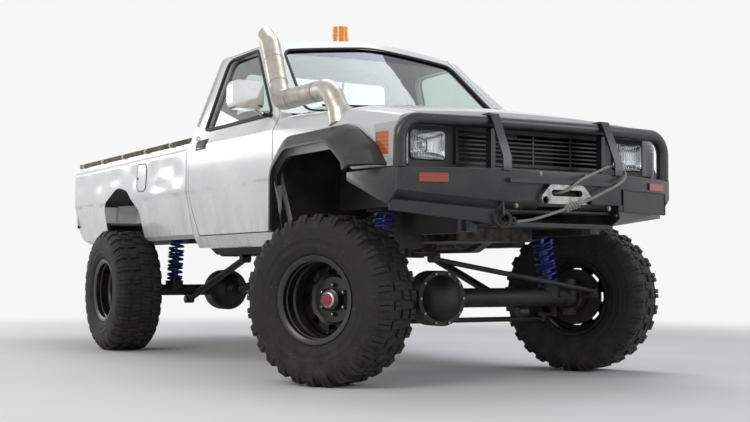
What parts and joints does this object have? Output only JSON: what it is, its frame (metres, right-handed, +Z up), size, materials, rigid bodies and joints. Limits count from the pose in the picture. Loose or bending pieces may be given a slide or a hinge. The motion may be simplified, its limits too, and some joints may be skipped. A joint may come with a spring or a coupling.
{
  "type": "lifted off-road pickup",
  "caption": "Single-cab four-wheel-drive pickup on raised coil springs, with a load tub, wheel flares, a high intake pipe and a steel winch bar.",
  "frame": {"origin": "on the ground, midway between the winch rope's knot and the tailgate, on the vehicle's middle plane", "axes": "+X forward, +Y to the vehicle's left, +Z up"},
  "size_m": [4.9459, 2.2712, 2.0397],
  "materials": {
    "body_paint": "white enamel, dented and dusty",
    "frame_black": "satin black chassis paint",
    "bar_paint": "dark blue-black satin paint",
    "rim_black": "satin black",
    "spring_blue": "blue paint",
    "tyre_rubber": "dusty mud-tyre rubber",
    "flare_plastic": "grained black",
    "grille_plastic": "black",
    "trim_vinyl": "dark grey",
    "seat_cloth": "dark grey cloth",
    "glass": "clear, faintly green",
    "lamp_glass": "clear lens",
    "lamp_amber": "amber lens",
    "lamp_red": "red lens",
    "beacon_amber": "amber lens",
    "stainless": "brushed stainless steel",
    "bright_steel": "bare steel",
    "mirror_chrome": "chrome",
    "cast_iron": "oily cast iron",
    "exhaust_steel": "heat-stained steel",
    "alloy": "cast, scuffed",
    "winch_black": "satin black",
    "rope_grey": "grey braided fibre, dusty"
  },
  "bodies": {
    "chassis": {"beacon": "beacon_amber", "bench_seat": "seat_cloth", "bull_bar_beam": "bar_paint", "bull_bar_hoop": "bar_paint", "cab_shell": "body_paint", "chassis_frame": "frame_black", "corner_lamps": "lamp_glass", "dashboard": "trim_vinyl", "engine_and_gearbox": "cast_iron", "exhaust": "exhaust_steel", "front_axle": "frame_black", "front_panel": "body_paint", "fuel_tank": "frame_black", "grille": "grille_plastic", "headlamps": "lamp_glass", "intake_pipe": "stainless", "load_tub": "body_paint", "marker_lamps": "lamp_amber", "propeller_shafts": "frame_black", "radiator": "alloy", "rear_axle": "frame_black", "rear_window": "glass", "rope_guide": "alloy", "springs_and_dampers": "spring_blue", "suspension_links": "frame_black", "tail_lamps": "lamp_red", "wheel_flares": "flare_plastic", "winch": "winch_black", "winch_rope": "rope_grey", "windscreen": "glass", "wing_left": "body_paint", "wing_right": "body_paint"},
    "door_right": {"door_right": "body_paint", "door_glass_right": "glass", "mirror_right": "mirror_chrome"},
    "door_left": {"door_left": "body_paint", "door_glass_left": "glass"},
    "bonnet": {"bonnet": "body_paint"},
    "tailgate": {"tailgate": "body_paint"},
    "knuckle_right": {"knuckle_right": "cast_iron"},
    "knuckle_left": {"knuckle_left": "cast_iron"},
    "tie_rod": {"tie_rod": "frame_black"},
    "drag_link": {"drag_link": "frame_black"},
    "pitman_arm": {"pitman_arm": "frame_black"},
    "steering_wheel": {"steering_wheel": "trim_vinyl"},
    "wheel_front_right": {"tyre_front_right": "tyre_rubber", "rim_and_hub_front_right": "rim_black"},
    "wheel_front_left": {"tyre_front_left": "tyre_rubber", "rim_and_hub_front_left": "rim_black"},
    "wheel_rear_right": {"tyre_rear_right": "tyre_rubber", "rim_and_hub_rear_right": "rim_black"},
    "wheel_rear_left": {"tyre_rear_left": "tyre_rubber", "rim_and_hub_rear_left": "rim_black"}
  },
  "joints": [
    {"name": "door_right_hinge", "type": "hinge", "parent": "chassis", "child": "door_right", "pos_m": [1.06, -0.838, 1.05], "axis": [0, 0, 1], "range_deg": [0, 65]},
    {"name": "door_left_hinge", "type": "hinge", "parent": "chassis", "child": "door_left", "pos_m": [1.06, 0.838, 1.05], "axis": [0, 0, -1], "range_deg": [0, 65]},
    {"name": "bonnet_hinge", "type": "hinge", "parent": "chassis", "child": "bonnet", "pos_m": [1.177, 0, 1.3725], "axis": [0, -1, 0], "range_deg": [0, 50]},
    {"name": "tailgate_hinge", "type": "hinge", "parent": "chassis", "child": "tailgate", "pos_m": [-2.445, 0, 0.893], "axis": [0, -1, 0], "range_deg": [0, 90]},
    {"name": "steer_right", "type": "hinge", "parent": "chassis", "child": "knuckle_right", "pos_m": [1.605, -0.675, 0.405], "axis": [0, 0, 1], "range_deg": [-62, 6]},
    {"name": "steer_left", "type": "hinge", "parent": "chassis", "child": "knuckle_left", "pos_m": [1.605, 0.675, 0.405], "axis": [0, 0, 1], "range_deg": [-62, 6]},
    {"name": "pitman_turn", "type": "hinge", "parent": "chassis", "child": "pitman_arm", "pos_m": [1.605, -0.34, 0.62], "axis": [0, 0, 1], "range_deg": [-62, 6]},
    {"name": "tie_rod_end", "type": "hinge", "parent": "knuckle_right", "child": "tie_rod", "pos_m": [1.47256, -0.74542, 0.285], "axis": [0, 0, 1], "range_deg": [-6, 62]},
    {"name": "drag_link_end", "type": "hinge", "parent": "knuckle_left", "child": "drag_link", "pos_m": [1.73744, 0.74542, 0.437], "axis": [0, 0, 1], "range_deg": [-6, 62]},
    {"name": "steering_wheel_turn", "type": "hinge", "parent": "chassis", "child": "steering_wheel", "pos_m": [0.8027, -0.37, 1.23], "axis": [-0.8829, 0, 0.4695], "range_deg": [-1116, 108]},
    {"name": "spin_front_right", "type": "hinge", "parent": "knuckle_right", "child": "wheel_front_right", "pos_m": [1.68716, -0.82952, 0.405], "axis": [-0.4695, 0.8829, 0], "continuous": true},
    {"name": "spin_front_left", "type": "hinge", "parent": "knuckle_left", "child": "wheel_front_left", "pos_m": [1.52284, 0.82952, 0.405], "axis": [-0.4695, 0.8829, 0], "continuous": true},
    {"name": "spin_rear_right", "type": "hinge", "parent": "chassis", "child": "wheel_rear_right", "pos_m": [-1.295, -0.85, 0.405], "axis": [0, 1, 0], "continuous": true},
    {"name": "spin_rear_left", "type": "hinge", "parent": "chassis", "child": "wheel_rear_left", "pos_m": [-1.295, 0.85, 0.405], "axis": [0, 1, 0], "continuous": true}
  ],
  "couplings": [
    {"joint": "steer_left", "follows": "steer_right", "ratio": 1},
    {"joint": "pitman_turn", "follows": "steer_right", "ratio": 1},
    {"joint": "tie_rod_end", "follows": "steer_right", "ratio": -1},
    {"joint": "drag_link_end", "follows": "steer_right", "ratio": -1},
    {"joint": "steering_wheel_turn", "follows": "steer_right", "ratio": 18}
  ]
}
